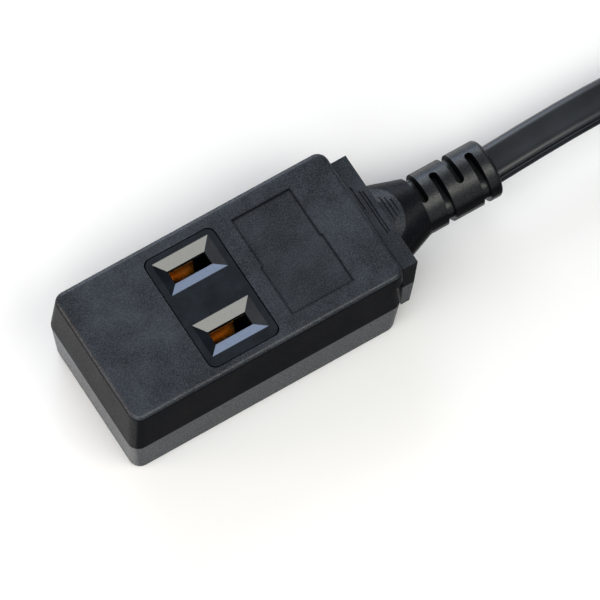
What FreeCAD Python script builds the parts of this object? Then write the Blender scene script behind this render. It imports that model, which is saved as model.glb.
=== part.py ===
# Two-slot cord socket: one flexible moulding over a slot insert with folded brass contacts,
# a slotted strain relief, a flat twin cord wound into a coil, and a two-blade plug on its end.
# +X runs along the body towards the cord, +Z out of the slotted face, millimetres.
import FreeCAD, Part
import math
import os
import re
from FreeCAD import Placement, Rotation, Vector

DOC = FreeCAD.newDocument("cord_socket")
DIMS = DOC.addObject("Spreadsheet::Sheet", "dims")
LAYOUT = DOC.addObject("App::VarSet", "layout")

# Driving dimensions: alias, value, meaning
DRIVING = [
    ("body_length", 51.8, "socket body along the cord, at the parting plane"),
    ("body_width", 27.9, "socket body across, at the parting plane"),
    ("body_height", 19.4, "socket body, resting face to slotted face"),
    ("draft_inset", 0.7, "how far each side draws in from the parting plane to either face"),
    ("end_lip_height", 3.3, "lip of the upper half that hangs over the gap before the collar"),
    ("end_lip_reach", 0.6, "how far that lip reaches past the parting edge"),
    ("corner_radius", 2.0, "upright corners of the body"),
    ("edge_radius", 1.0, "edges round the slotted face and the resting face"),
    ("floor_wall", 1.0, "moulding under the carrier base"),
    ("insert_clearance", 0.05, "moulding to insert, all round"),
    ("window_gap", 0.18, "fine gap round the insert's face"),
    ("slot_from_end", 22.9, "slots' centre from the free end of the body"),
    ("slot_pitch", 12.7, "blade centre to blade centre"),
    ("slot_length", 7.06, "slot along the body"),
    ("slot_width", 2.58, "slot across the body"),
    ("funnel_length", 10.76, "funnel mouth along the body"),
    ("funnel_width", 6.6, "funnel mouth across the body"),
    ("funnel_depth", 1.0, "mouth to the start of the straight slot"),
    ("face_length", 13.0, "insert's face along the body"),
    ("face_width", 22.1, "insert's face across the body"),
    ("face_shift", 0.45, "insert's face from the middle plane of the slots, towards -Y"),
    ("face_corner", 1.4, "corners of the insert's face"),
    ("carrier_front", 9.5, "carrier from the slots' centre to its front wall"),
    ("carrier_length", 25.5, "carrier block along the body"),
    ("carrier_width", 23.2, "carrier block across the body"),
    ("carrier_cover", 3.0, "moulding over the carrier block's shoulder"),
    ("pocket_roof", 0.9, "funnel's foot to the roof of the contact pockets"),
    ("pocket_length", 9.8, "contact pocket along the body"),
    ("pocket_width", 5.2, "contact pocket across the body"),
    ("channel_width", 4.9, "crimp channel across the body"),
    ("base_plate", 0.9, "carrier base plate"),
    ("base_gap", 0.05, "carrier base to carrier block"),
    ("rib_width", 1.6, "ribs of the base that prop the crimps"),
    ("strip", 0.5, "brass strip of the contacts"),
    ("leaf_lift", 0.1, "contact above the carrier base plate"),
    ("leaf_room", 0.3, "leaf lips below the pockets' roof"),
    ("leaf_front", 4.2, "leaves' front edge from the slots' centre"),
    ("leaf_length", 5.5, "leaves along the body"),
    ("leaf_lip", 1.5, "middle of the strip from the slot's middle plane, at the lips"),
    ("leaf_pinch", 0.75, "middle of the strip from the slot's middle plane, at the pinch"),
    ("leaf_spread", 1.3, "middle of the strip from the slot's middle plane, lower down"),
    ("pinch_depth", 3.3, "lips to the pinch"),
    ("spread_depth", 6.4, "lips to where the leaves turn straight down"),
    ("fold_radius", 0.8, "bends of the strip, at its middle"),
    ("tab_height", 3.0, "tab from the fold to the wire crimp"),
    ("crimp_start", 6.5, "wire crimp from the slots' centre"),
    ("crimp_length", 4.5, "wire crimp along the wire"),
    ("crimp_radius", 1.5, "wire crimp, outside"),
    ("grip_start", 11.6, "insulation crimp from the slots' centre"),
    ("grip_length", 3.0, "insulation crimp along the wire"),
    ("wire_radius", 1.65, "insulated wire"),
    ("strand_radius", 0.95, "bundle of copper strands"),
    ("wire_clearance", 0.05, "round an insulated wire or a strand bundle"),
    ("wire_spacing", 1.85, "wire from the cord's middle line"),
    ("label_from_end", 32.9, "label panel from the free end of the body"),
    ("label_length", 11.1, "label panel along the body"),
    ("label_width", 19.5, "label panel across the body"),
    ("label_depth", 0.3, "label panel below the slotted face"),
    ("label_step", 0.3, "step half way along the panel's long edges"),
    ("collar_gap", 1.15, "body's parting edge to the collar"),
    ("web_width", 15.0, "web between body and collar, across"),
    ("web_height", 13.2, "web between body and collar, upright"),
    ("collar_width", 22.8, "collar across, at its parting plane"),
    ("collar_height", 13.6, "collar, upright"),
    ("collar_draft", 0.15, "how far the collar's sides draw in to its faces"),
    ("collar_thick", 2.85, "collar along the cord, at its upper edge"),
    ("collar_foot", 1.6, "collar along the cord, at its lower edge"),
    ("neck_width", 17.1, "neck across, where it leaves the collar"),
    ("neck_height", 12.6, "neck upright, where it leaves the collar"),
    ("neck_drop", 0.4, "how far the neck's oval sits below the cord's middle line"),
    ("neck_length", 6.8, "collar to strain relief"),
    ("pad_level", 5.55, "flat finger pads from the cord's middle line"),
    ("relief_radius", 5.2, "strain relief"),
    ("relief_length", 14.0, "strain relief along the cord"),
    ("relief_edge", 0.7, "rounded end of the strain relief"),
    ("relief_core_width", 9.4, "solid core between the relief's slots, across"),
    ("relief_core_height", 4.8, "solid core between the relief's slots, upright"),
    ("relief_slot", 1.45, "relief slots along the cord"),
    ("relief_pitch", 3.45, "relief slot to relief slot"),
    ("relief_lead", -0.1, "neck to the first relief slot"),
    ("relief_past", 2.1, "how far a relief slot runs past the middle plane"),
    ("groove_width", 0.28, "fine grip grooves"),
    ("groove_depth", 0.35, "fine grip grooves"),
    ("cord_width", 7.0, "flat twin cord, wide side"),
    ("cord_thick", 3.5, "flat twin cord, thin side"),
    ("cord_tube", 5.3, "round stand-in with the cord's own section area"),
    ("coil_x", 54.0, "coil's middle from the cord exit, along X"),
    ("coil_radius", 40.8, "middle line of the outermost turn, first half"),
    ("coil_step", 1.8, "how much closer each half turn lies"),
    ("lead_radius", 21.5, "bend from the innermost turn back to the plug"),
    ("plug_end", 2.0, "plug's cord end past the coil's middle, along X"),
    ("plug_width", 24.0, "plug across its face"),
    ("plug_thick", 13.0, "plug, upright"),
    ("plug_grip", 15.0, "straight part of the plug's body"),
    ("plug_taper", 12.0, "tapering part of the plug's body"),
    ("plug_corner", 2.5, "long edges of the plug's body"),
    ("plug_rim", 0.8, "rounded edge round the plug's face"),
    ("plug_relief", 14.0, "plug's strain relief along the cord"),
    ("plug_relief_radius", 5.0, "plug's strain relief"),
    ("bridge_length", 5.0, "bridge that holds the blades, along them"),
    ("bridge_width", 19.6, "bridge across"),
    ("bridge_height", 9.0, "bridge upright"),
    ("blade_length", 17.3, "blade outside the plug's face"),
    ("blade_width", 6.3, "blade, wide side"),
    ("blade_thick", 1.5, "blade, thin side"),
    ("blade_tip", 1.3, "slanted corners at the blade's tip"),
    ("blade_hole", 3.2, "hole through the blade, across"),
    ("blade_hole_from_tip", 5.6, "hole's middle from the blade's tip"),
    ("blade_tail", 9.5, "blade behind the plug's face"),
    ("tail_width", 3.0, "blade behind the bridge"),
]

ALIASES = [alias for alias, value, meaning in DRIVING]
for row, (alias, value, meaning) in enumerate(DRIVING, start=1):
    DIMS.set(f"A{row}", meaning)
    DIMS.set(f"B{row}", str(value))
    DIMS.setAlias(f"B{row}", alias)
DOC.recompute()

DERIVED = []


def linked(expression):
    """An expression in plain words, with each word pointed at the sheet or the layout."""
    def owner(match):
        word = match.group(0)
        if word in DERIVED:
            return "layout." + word
        return "dims." + word if word in ALIASES else word
    return re.sub(r"[a-z][a-z_]*", owner, str(expression))


def derive(name, expression):
    """A worked-out place, kept in the layout so that every piece reads the same one."""
    LAYOUT.addProperty("App::PropertyFloat", name)
    LAYOUT.setExpression(name, linked(expression))
    DERIVED.append(name)


def number(name):
    """The value of a driving dimension or of a worked-out place."""
    return float(getattr(LAYOUT, name) if name in DERIVED else DIMS.get(name))


# Places along the body, from its free end to the cord exit
derive("overall", "body_length + collar_gap + collar_thick + neck_length + relief_length")
derive("left_x", "-overall / 2")
derive("right_x", "left_x + body_length")
derive("collar_x", "right_x + collar_gap")
derive("neck_x", "collar_x + collar_thick")
derive("relief_x", "neck_x + neck_length")
derive("exit_x", "overall / 2")
derive("slots_x", "left_x + slot_from_end")
derive("middle_z", "body_height / 2")
derive("slot_y", "slot_pitch / 2")
# Levels inside the body
derive("base_z", "floor_wall")
derive("carrier_z", "floor_wall + base_plate")
derive("shoulder_z", "body_height - carrier_cover")
derive("slot_z", "body_height - funnel_depth")
derive("roof_z", "slot_z - pocket_roof")
derive("fold_z", "carrier_z + leaf_lift + strip / 2")
derive("lip_z", "roof_z - leaf_room")
derive("leaf_end_x", "slots_x - leaf_front + leaf_length")
derive("carrier_x", "slots_x - carrier_front")
# Coil and plug, from the cord exit
derive("coil_mid_x", "exit_x + coil_x")
derive("coil_mid_y", "-coil_radius")
derive("lead_mid_x", "coil_mid_x + (coil_radius - 8 * coil_step - lead_radius) * cos(30)")
derive("lead_mid_y", "coil_mid_y + (coil_radius - 8 * coil_step - lead_radius) * sin(30)")
derive("plug_y", "lead_mid_y - lead_radius")
derive("plug_z", "cord_width + plug_thick / 2")
derive("plug_exit_x", "coil_mid_x + plug_end")
derive("plug_neck_x", "plug_exit_x - plug_relief")
derive("plug_grip_x", "plug_neck_x - plug_taper")
derive("plug_face_x", "plug_grip_x - plug_grip")
derive("bridge_x", "plug_face_x + bridge_length")
derive("tail_x", "plug_face_x + blade_tail")
derive("tail_grip_x", "tail_x + crimp_length")
DOC.recompute()


def bind(thing, sizes):
    for name, expression in sizes.items():
        thing.setExpression(name, linked(expression))
    return thing


def place(thing, x, y, z, turn=None):
    """Puts a primitive at a place given in words, after a fixed turn."""
    if turn is not None:
        thing.Placement = Placement(Vector(), turn)
    return bind(thing, {"Placement.Base.x": x, "Placement.Base.y": y, "Placement.Base.z": z})


def box(name, x, y, z):
    """A block between two planes along each axis."""
    block = DOC.addObject("Part::Box", name)
    sides = {"Length": x, "Width": y, "Height": z}
    bind(block, {side: f"({high}) - ({low})" for side, (low, high) in sides.items()})
    return place(block, x[0], y[0], z[0])


def middle_box(name, x, half_width, half_height, z="middle_z", y="0"):
    """A block centred across and upright on a line along X."""
    across = (f"{y} - ({half_width})", f"{y} + ({half_width})")
    upright = (f"{z} - ({half_height})", f"{z} + ({half_height})")
    return box(name, x, across, upright)


ALONG_X = Rotation(Vector(0, 1, 0), 90)
UPRIGHT = Rotation(Vector(1, 0, 0), 90)


def rod(name, x, y, z, radius):
    """A cylinder along X between two places."""
    bar = DOC.addObject("Part::Cylinder", name)
    bind(bar, {"Radius": radius, "Height": f"({x[1]}) - ({x[0]})"})
    return place(bar, x[0], y, z, ALONG_X)


def post(name, x, y, z, radius):
    """An upright cylinder between two levels."""
    bar = DOC.addObject("Part::Cylinder", name)
    bind(bar, {"Radius": radius, "Height": f"({z[1]}) - ({z[0]})"})
    return place(bar, x, y, z[0])


def frustum(name, z, low, high, y="0"):
    """A block whose lower and upper outlines differ: each is (from x, to x, half width)."""
    wedge = DOC.addObject("Part::Wedge", name)
    bind(wedge, {
        "Ymin": "0", "Ymax": f"({z[1]}) - ({z[0]})",
        "Xmin": low[0], "Xmax": low[1], "Zmin": f"-({low[2]})", "Zmax": low[2],
        "X2min": high[0], "X2max": high[1], "Z2min": f"-({high[2]})", "Z2max": high[2],
    })
    return place(wedge, "0", y, z[0], UPRIGHT)


def fuse(name, pieces):
    joined = DOC.addObject("Part::MultiFuse", name)
    joined.Shapes = pieces
    joined.Refine = True
    return joined


def cut(name, base, tool):
    left = DOC.addObject("Part::Cut", name)
    left.Base = base
    left.Tool = tool
    left.Refine = True
    return left


def common(name, pieces):
    shared = DOC.addObject("Part::MultiCommon", name)
    shared.Shapes = pieces
    return shared


def rounded(name, base, radius, wanted):
    """Fillets the edges of a piece that a test on their bounding box picks out."""
    DOC.recompute()
    done = DOC.addObject("Part::Fillet", name)
    done.Base = base
    picked = [i for i, edge in enumerate(base.Shape.Edges, start=1) if wanted(edge.BoundBox)]
    done.Edges = [(i, radius, radius) for i in picked]
    return done


def chamfered(name, base, reach, wanted):
    DOC.recompute()
    done = DOC.addObject("Part::Chamfer", name)
    done.Base = base
    picked = [i for i, edge in enumerate(base.Shape.Edges, start=1) if wanted(edge.BoundBox)]
    done.Edges = [(i, reach, reach) for i in picked]
    return done


def level(z):
    """A test for edges that lie at one level."""
    return lambda b: abs(b.ZMin - z) < 1e-4 and abs(b.ZMax - z) < 1e-4


def spans_up(b):
    return b.ZLength > 0.5


def at_x(x):
    """A test for edges that lie in one plane across the cord."""
    return lambda b: abs(b.XMin - x) < 1e-4 and abs(b.XMax - x) < 1e-4


def solid(name, shape):
    piece = DOC.addObject("Part::Feature", name)
    piece.Shape = shape
    return piece


def tangent_path(points, share=0.45, limit=None):
    """Straight runs joined by tangent arcs, each as large as its share of the shorter run allows."""
    edges, radii, start = [], [], points[0]
    for before, corner, after in zip(points, points[1:], points[2:]):
        back, ahead = before - corner, after - corner
        shorter = min(back.Length, ahead.Length)
        back.normalize()
        ahead.normalize()
        half_turn = (math.pi - back.getAngle(ahead)) / 2
        radius = share * shorter / math.tan(half_turn)
        if limit is not None:
            radius = min(radius, limit)
        reach = radius * math.tan(half_turn)
        enter, leave = corner + back * reach, corner + ahead * reach
        inward = back + ahead
        inward.normalize()
        apex = corner + inward * (radius / math.cos(half_turn) - radius)
        edges += [Part.LineSegment(start, enter).toShape(), Part.Arc(enter, apex, leave).toShape()]
        radii.append(radius)
        start = leave
    edges.append(Part.LineSegment(start, points[-1]).toShape())
    return Part.Wire(edges), radii


def tube(path, radius):
    """A round tube along a path, from its first point."""
    first = path.Edges[0]
    ring = Part.Circle(first.Vertexes[0].Point, first.tangentAt(first.FirstParameter), radius)
    return path.makePipeShell([Part.Wire(ring.toShape())], True, False)


def flat_section(name, x, half_width, half_height, y="0", z="middle_z"):
    """A block along X with round long edges: a rectangle between two half circles."""
    straight = f"({half_width}) - ({half_height})"
    pieces = [middle_box(name + "_middle", x, straight, half_height, z, y)]
    for side, sign in (("near", "-"), ("far", "+")):
        pieces.append(rod(f"{name}_{side}", x, f"{y} {sign} ({straight})", z, half_height))
    return fuse(name, pieces)


def mirrored(name, source):
    """The same piece on the other side of the body's middle plane."""
    twin = DOC.addObject("Part::Mirroring", name)
    twin.Source = source
    twin.Normal = Vector(0, 1, 0)
    return twin


# Wires inside the socket and the plug

def wire_points(end_x, bend_x, split_x, stop_x, y, z):
    """From the cord's end inwards, first beside its twin, then spread to the slots' pitch."""
    near = number("wire_spacing")
    wide = number("slot_y")
    places = ((end_x, near), (bend_x, near), (split_x, wide), (stop_x, wide))
    return [Vector(x, y + across, z) for x, across in places]


def mitred_tube(points, radius):
    """Straight runs that meet at mitred corners."""
    ring = Part.Circle(points[0], points[1] - points[0], radius)
    return Part.makePolygon(points).makePipeShell([Part.Wire(ring.toShape())], True, False, 1)


def wire_pair(name, points, middle_y):
    """Both insulated wires, and the two channels round them."""
    plane = Vector(0, middle_y, 0)
    wires, channels = [], []
    for radius, kept, label in ((number("wire_radius"), wires, name),
                                (number("wire_radius") + number("wire_clearance"), channels, name + "_channel")):
        back = mitred_tube(points, radius)
        kept.append(solid(label + "_back", back))
        kept.append(solid(label + "_front", back.mirror(plane, Vector(0, 1, 0))))
    return wires, channels


GRIP_X = number("slots_x") + number("grip_start")
SOCKET_WIRES, SOCKET_CHANNELS = wire_pair("wire", wire_points(
    number("exit_x"), number("neck_x") + 1.2, GRIP_X + 8.5, GRIP_X, 0, number("middle_z")), 0)
PLUG_WIRES, PLUG_CHANNELS = wire_pair("plug_wire", wire_points(
    number("plug_exit_x"), number("plug_neck_x") + 1.0, number("tail_grip_x") + 4.6,
    number("tail_grip_x"), number("plug_y"), number("plug_z")), number("plug_y"))


# Slot insert, with funnels, straight slots, contact pockets and crimp channels

def insert_envelope(name, grow):
    """The carrier block and its face, larger all round by a clearance."""
    block = box(name + "_block", (f"carrier_x - {grow}", f"carrier_x + carrier_length + {grow}"),
                (f"-carrier_width / 2 - {grow}", f"carrier_width / 2 + {grow}"),
                (f"base_z - {grow}", f"shoulder_z + {grow}"))
    return block


def insert_face(name, grow, top):
    """The upright block that carries the insert's face, with round corners."""
    face = middle_box(name + "_block", (f"slots_x - face_length / 2 - {grow}",
                                        f"slots_x + face_length / 2 + {grow}"),
                      f"face_width / 2 + {grow}", "2", "0", "-face_shift")
    bind(face, {"Height": f"({top}) - (shoulder_z - 1)", "Placement.Base.z": "shoulder_z - 1"})
    return rounded(name, face, number("face_corner"), spans_up)


def slot_insert():
    carrier = box("carrier_block", ("carrier_x", "carrier_x + carrier_length"),
                  ("-carrier_width / 2", "carrier_width / 2"), ("carrier_z + base_gap", "shoulder_z"))
    face = insert_face("insert_face", "0", "body_height")
    cutters = []
    for side, y in (("back", "slot_y"), ("front", "-slot_y")):
        mouth = ("slots_x - funnel_length / 2", "slots_x + funnel_length / 2", "funnel_width / 2")
        throat = ("slots_x - slot_length / 2", "slots_x + slot_length / 2", "slot_width / 2")
        cutters.append(frustum(f"funnel_{side}", ("slot_z", "body_height"), throat, mouth, y))
        cutters.append(box(f"slot_{side}", throat[:2], (f"{y} - slot_width / 2", f"{y} + slot_width / 2"),
                           ("roof_z - 0.5", "slot_z + 0.01")))
        cutters.append(box(f"pocket_{side}", ("slots_x - pocket_length / 2", "slots_x + pocket_length / 2"),
                           (f"{y} - pocket_width / 2", f"{y} + pocket_width / 2"), ("base_z", "roof_z")))
        channel = ("slots_x + pocket_length / 2 - 0.5", "carrier_x + carrier_length + 1")
        cutters.append(box(f"channel_{side}", channel,
                           (f"{y} - channel_width / 2", f"{y} + channel_width / 2"),
                           ("base_z", "middle_z + channel_width / 2")))
    whole = fuse("insert_whole", [carrier, face])
    return cut("slot_insert", whole, fuse("insert_cutters", cutters))


def carrier_base():
    """The plate that closes the pockets from below, with ribs that prop the crimps."""
    plate = box("base_plate_block", ("carrier_x", "carrier_x + carrier_length"),
                ("-carrier_width / 2", "carrier_width / 2"), ("base_z", "carrier_z"))
    pieces = [plate]
    for side, y in (("back", "slot_y"), ("front", "-slot_y")):
        pieces.append(box(f"crimp_rib_{side}", ("slots_x + crimp_start", "slots_x + crimp_start + crimp_length"),
                          (f"{y} - rib_width / 2", f"{y} + rib_width / 2"),
                          ("base_z", "middle_z - crimp_radius - 0.05")))
    return fuse("carrier_base", pieces)


# Folded brass contact: two sprung leaves, a tab, a wire crimp and an insulation crimp

def leaf_strip():
    """Seen along the body the strip is a U: its leaves lean in to a pinch below flared lips."""
    x, y, lip_z = number("slots_x") - number("leaf_front"), number("slot_y"), number("lip_z")
    lip, pinch, spread = number("leaf_lip"), number("leaf_pinch"), number("leaf_spread")
    outline = [(lip, 0), (pinch, number("pinch_depth")), (spread, number("spread_depth"))]
    side = [Vector(x, y - across, lip_z - down) for across, down in outline]
    side.append(Vector(x, y - spread, number("fold_z")))
    other = [Vector(x, 2 * y - p.y, p.z) for p in reversed(side)]
    path = tangent_path(side + other, limit=number("fold_radius"))[0]
    down = side[1] - side[0]
    down.normalize()
    half = down.cross(Vector(1, 0, 0)) * (number("strip") / 2)
    width = Vector(number("leaf_length"), 0, 0)
    lip_edge = [side[0] - half, side[0] + half]
    section = Part.makePolygon([lip_edge[0], lip_edge[1], lip_edge[1] + width, lip_edge[0] + width, lip_edge[0]])
    return path.makePipeShell([section], True, False)


def crimp(name, x, y, z, inside, outside):
    """A barrel closed round a wire, with its seam on top."""
    barrel = cut(name + "_tube", rod(name + "_outside", x, y, z, outside), rod(name + "_inside", x, y, z, inside))
    seam = box(name + "_seam", x, (f"{y} - 0.2", f"{y} + 0.2"), (z, f"{z} + {outside} + 1"))
    return cut(name, barrel, seam)


def contact():
    leaves = solid("contact_leaves", leaf_strip())
    tab = box("contact_tab", ("leaf_end_x - 0.5", "slots_x + crimp_start + 0.2"),
              ("slot_y - leaf_spread - strip / 2", "slot_y - leaf_spread + strip / 2"),
              ("middle_z - tab_height / 2", "middle_z + tab_height / 2"))
    wire_end = ("slots_x + crimp_start", "slots_x + crimp_start + crimp_length")
    grip_end = ("slots_x + grip_start", "slots_x + grip_start + grip_length")
    barrel = crimp("contact_crimp", wire_end, "slot_y", "middle_z", "strand_radius + wire_clearance", "crimp_radius")
    grip = crimp("contact_grip", grip_end, "slot_y", "middle_z", "wire_radius + wire_clearance",
                 "wire_radius + wire_clearance + strip")
    bridge = box("contact_bridge", (f"{wire_end[1]} - 0.3", f"{grip_end[0]} - 0.02"),
                 ("slot_y - wire_radius - wire_clearance - strip / 2", "slot_y - crimp_radius + strip * 0.5"),
                 ("middle_z - 0.6", "middle_z + 0.6"))
    link = box("contact_link", (f"{grip_end[0]} - 0.1", f"{grip_end[0]} + 0.4"),
               ("slot_y - wire_radius - wire_clearance - strip / 2", "slot_y - wire_radius - wire_clearance - 0.1"),
               ("middle_z - 0.5", "middle_z + 0.5"))
    return fuse("contact_back", [leaves, tab, barrel, grip, bridge, link])


# Socket moulding

def end_lip():
    """The part of the upper half that hangs over the gap before the collar, in line with its sides."""
    foot = "body_width / 2 - draft_inset * (1 - end_lip_height / (body_height - middle_z))"
    head = "body_width / 2 - draft_inset"
    span = ("right_x - 4", "right_x + end_lip_reach")
    z = ("body_height - end_lip_height", "body_height")
    block = frustum("end_lip_block", z, (*span, foot), (*span, head))
    corners = rounded("end_lip_corners", block, number("corner_radius"), spans_up)
    return rounded("end_lip", corners, number("edge_radius"), level(number("body_height")))


def drafted_half(name, z, wide_below):
    """Half of the body between the parting plane and a face, drawn in by its draft."""
    full = ("left_x", "right_x", "body_width / 2")
    drawn = ("left_x + draft_inset", "right_x - draft_inset", "body_width / 2 - draft_inset")
    outlines = (full, drawn) if wide_below else (drawn, full)
    block = frustum(name + "_block", z, *outlines)
    corners = rounded(name + "_corners", block, number("corner_radius"), spans_up)
    face = number("body_height") if wide_below else 0
    return rounded(name, corners, number("edge_radius"), level(face))


def collar():
    """The collar leans: it is thicker at its upper edge, and draws in from its parting plane."""
    low, high = "middle_z - collar_height / 2", "middle_z + collar_height / 2"
    middle = ("collar_x", "collar_x + (collar_thick + collar_foot) / 2", "collar_width / 2")
    foot = ("collar_x", "collar_x + collar_foot", "collar_width / 2 - collar_draft")
    head = ("collar_x", "collar_x + collar_thick", "collar_width / 2 - collar_draft")
    lower = frustum("collar_lower", (low, "middle_z"), foot, middle)
    upper = frustum("collar_upper", ("middle_z", high), middle, head)
    return [lower, upper]


def neck():
    """From a wide oval at the collar to the round strain relief, cut flat above and below."""
    DOC.recompute()
    x0, x1 = "collar_x + collar_foot / 2", "relief_x"
    oval = DOC.addObject("Part::Ellipse", "neck_oval")
    bind(oval, {"MajorRadius": "neck_width / 2", "MinorRadius": "neck_height / 2"})
    across = Rotation(Vector(0, 1, 0), Vector(0, 0, 1), Vector(1, 0, 0), "XYZ")
    place(oval, x0, "0", "middle_z - neck_drop", across)
    ring = DOC.addObject("Part::Circle", "neck_ring")
    bind(ring, {"Radius": "relief_radius"})
    place(ring, x1, "0", "middle_z", across)
    loft = DOC.addObject("Part::Loft", "neck_loft")
    loft.Sections = [oval, ring]
    loft.Solid = True
    slab = middle_box("neck_slab", (x0, x1), "neck_width", "pad_level")
    return common("neck", [loft, slab])


def relief_slots():
    """Slots cut in from alternate sides, each past the middle plane, round a solid core."""
    cutters = []
    for i in range(4):
        side = 1 if i % 2 == 0 else -1
        start = f"relief_x + relief_lead + {i} * relief_pitch"
        end = f"{start} + relief_slot"
        round_end = f"{-side} * (relief_past - relief_slot / 2)"
        outside = f"{side} * (relief_radius + 1)"
        across = (round_end, outside) if side > 0 else (outside, round_end)
        upright = ("middle_z - relief_radius - 1", "middle_z + relief_radius + 1")
        cutters.append(box(f"relief_slot_{i}", (start, end), across, upright))
        cutters.append(post(f"relief_slot_end_{i}", f"({start} + {end}) / 2", round_end, upright, "relief_slot / 2"))
    span = ("relief_x - 1", "relief_x + relief_length")
    core = flat_section("relief_core", span, "relief_core_width / 2", "relief_core_height / 2")
    return cut("relief_slots", fuse("relief_slot_blocks", cutters), core)


def grip_grooves():
    """Fine grooves across the collar and, shorter and shorter, across both finger pads."""
    rows = (
        ("collar_x + 0.4", (1.2, 5.9), "collar_height / 2"),
        ("collar_x + 1.3", (-4.4, 4.5), "collar_height / 2"),
        ("collar_x + 1.8", (-4.2, 4.2), "collar_height / 2"),
        ("neck_x + 1.1", (-2.6, 2.6), "pad_level"),
        ("neck_x + 1.8", (-2.0, 2.0), "pad_level"),
        ("neck_x + 2.5", (-1.2, 1.2), "pad_level"),
    )
    grooves = []
    for i, (x, ends, reach) in enumerate(rows):
        span = (f"{x} - groove_width / 2", f"{x} + groove_width / 2")
        across = tuple(str(end) for end in ends)
        grooves.append(box(f"groove_top_{i}", span, across,
                           (f"middle_z + {reach} - groove_depth", f"middle_z + {reach} + 1")))
        grooves.append(box(f"groove_low_{i}", span, across,
                           (f"middle_z - {reach} - 1", f"middle_z - {reach} + groove_depth")))
    return grooves


def label_recess():
    """A shallow bare panel with a small step half way along its long edges."""
    z = ("body_height - label_depth", "body_height + 1")
    x = ("left_x + label_from_end", "left_x + label_from_end + label_length")
    wide = box("label_panel", x, ("-label_width / 2", "label_width / 2"), z)
    step = box("label_panel_step", (f"{x[0]} - label_step", f"{x[1]} + label_step"),
               ("-label_width / 2", "0"), z)
    return [wide, step]


def socket_moulding():
    upper = drafted_half("body_upper", ("middle_z", "body_height"), True)
    lower = drafted_half("body_lower", ("0", "middle_z"), False)
    web = middle_box("web", ("right_x - 2", "collar_x + 0.5"), "web_width / 2", "web_height / 2")
    relief_bar = rod("relief_bar", ("relief_x - 0.5", "exit_x"), "0", "middle_z", "relief_radius")
    relief = rounded("relief", relief_bar, number("relief_edge"), at_x(number("exit_x")))
    outside = fuse("socket_outside", [upper, end_lip(), lower, web, *collar(), neck(), relief])
    cavity = insert_envelope("cavity", "insert_clearance")
    window = insert_face("window", "window_gap", "body_height + 1")
    cutters = [cavity, window, relief_slots(), *SOCKET_CHANNELS]
    cutters += grip_grooves() + label_recess()
    return cut("socket_moulding", outside, fuse("socket_cutters", cutters))


# Cord: a tube along the free stretches and one solid for the coil's four turns and a bit

RUN_POINTS = [(0, 0, 0), (20, 0, 0), (40, 0.85, 1), (54, 0.85, 1)]
LEAD_TURNS = [(15, 1.2, 3.5), (-15, 1.0, 6.4), (-45, 0.5, 10.6), (-75, 0, 13.5)]


def turned(x, y, radius, degrees, z=0):
    """A point on a circle, by its angle from +X."""
    angle = math.radians(degrees)
    return Vector(x + radius * math.cos(angle), y + radius * math.sin(angle), z)


def clockwise(x, y, radius, start, end):
    """An arc seen from above, from one angle down to another."""
    points = [turned(x, y, radius, degrees) for degrees in (start, (start + end) / 2, end)]
    return Part.Arc(*points).toShape()


def cord_coil():
    """Half circles about two middles make the spiral; the steps are the cord's own ends."""
    x, y = number("coil_mid_x"), number("coil_mid_y")
    radius, step, half = number("coil_radius"), number("coil_step"), number("cord_thick") / 2
    outside = radius + half
    outer = [clockwise(x, y, outside, 90, -90), clockwise(x, y - step, outside - step, -90, -270)]
    outer.append(Part.LineSegment(Vector(x, y + outside - 2 * step, 0), Vector(x, y + outside, 0)).toShape())
    last, before = radius - 8 * step - half, radius - 6 * step - half
    inner = [clockwise(x, y, last, 90, 30)]
    inner.append(Part.LineSegment(turned(x, y, last, 30), turned(x, y, before, 30)).toShape())
    inner.append(clockwise(x, y, before, 30, -90))
    inner.append(clockwise(x, y - step, before - step, -90, -270))
    face = Part.Face([Part.Wire(outer), Part.Wire(inner)], "Part::FaceMakerBullseye")
    return solid("cord_coil", face.extrude(Vector(0, 0, number("cord_width"))))


def cord_tube(name, points):
    """A tube along a hand-laid route; its volume and its bends are printed."""
    path, radii = tangent_path(points)
    shape = tube(path, number("cord_tube") / 2)
    expected = path.Length * math.pi * number("cord_tube") ** 2 / 4
    print(f"{name}: length {path.Length:.1f}, volume / expected {shape.Volume / expected:.4f},",
          "radii", [round(r, 1) for r in radii])
    return shape


def cord_run():
    """Level out of the strain relief, then down to the floor beside the coil."""
    high, low = number("middle_z"), number("cord_width") / 2
    points = [Vector(number("exit_x") + x, y, low if down else high) for x, y, down in RUN_POINTS]
    points[-1].x = number("coil_mid_x")
    return solid("cord_run", cord_tube("cord_run", points))


def cord_lead():
    """From the innermost turn round and up to the plug that lies on the coil."""
    x, y, radius = number("lead_mid_x"), number("lead_mid_y"), number("lead_radius")
    first = turned(x, y, radius - 1.2, 30, number("cord_width") / 2)
    points = [first]
    for degrees, inward, z in LEAD_TURNS:
        points.append(turned(x, y, (radius - inward) / math.cos(math.radians(15)), degrees, z))
    points[-1].z = number("plug_z")
    points.append(Vector(number("plug_exit_x"), number("plug_y"), number("plug_z")))
    return solid("cord_lead", cord_tube("cord_lead", points))


# Plug on the cord's end

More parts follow.
